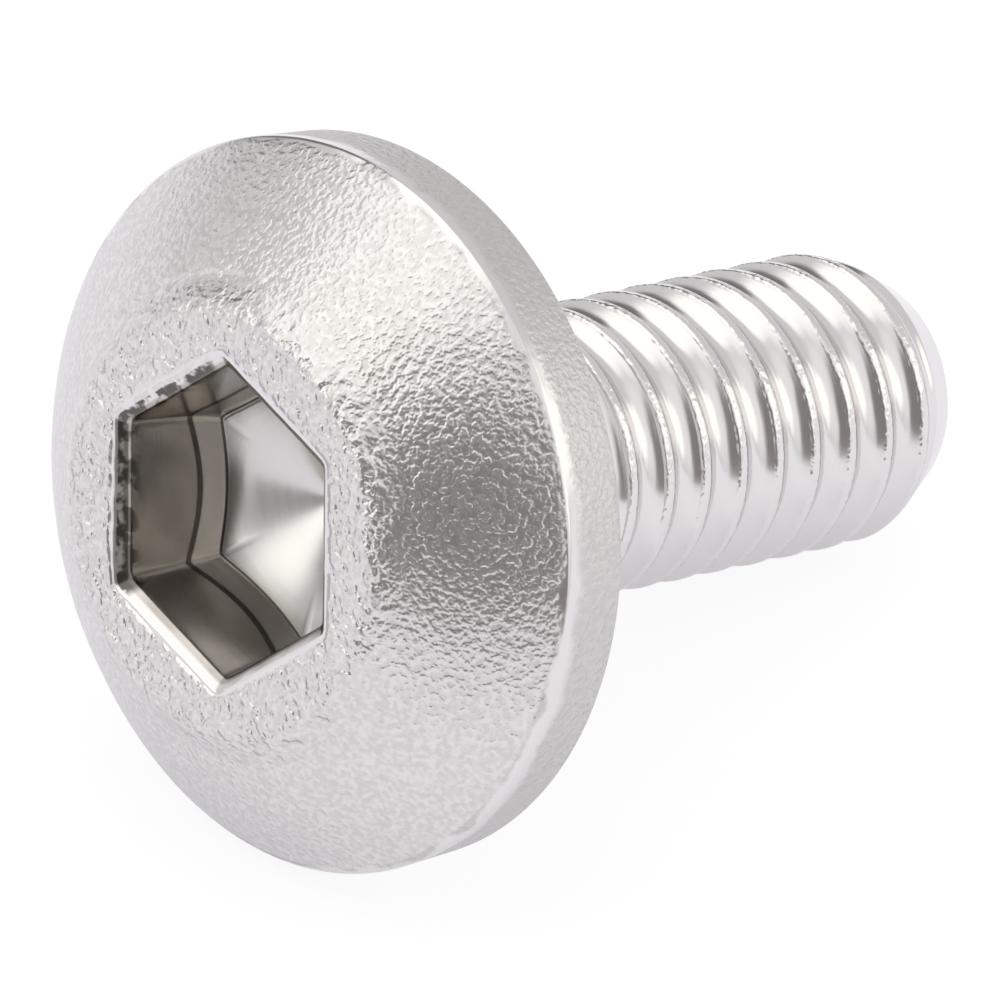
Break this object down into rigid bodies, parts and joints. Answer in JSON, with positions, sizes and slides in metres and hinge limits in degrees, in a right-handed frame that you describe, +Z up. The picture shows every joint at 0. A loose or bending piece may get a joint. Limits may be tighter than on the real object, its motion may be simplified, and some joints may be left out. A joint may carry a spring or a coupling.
{
  "type": "fairing screw",
  "caption": "Low dome-head fairing screw with a wide flanged head, a hexagon socket and a short machine thread, for holding thin body panels.",
  "frame": {"origin": "centre of the footprint on the floor, with the screw lying as it comes to rest", "axes": "+X along the floor from the head to the tip, +Y across, +Z up; the screw's own axis lies in the XZ plane and drops 18.67 degrees toward +X"},
  "size_m": [0.0188, 0.0144, 0.0141],
  "materials": {
    "stainless_steel": "forged and tumbled stainless steel, grainy on the dome, rolled bright on the thread"
  },
  "bodies": {
    "root": {"fairing_screw": "stainless_steel"}
  },
  "joints": []
}
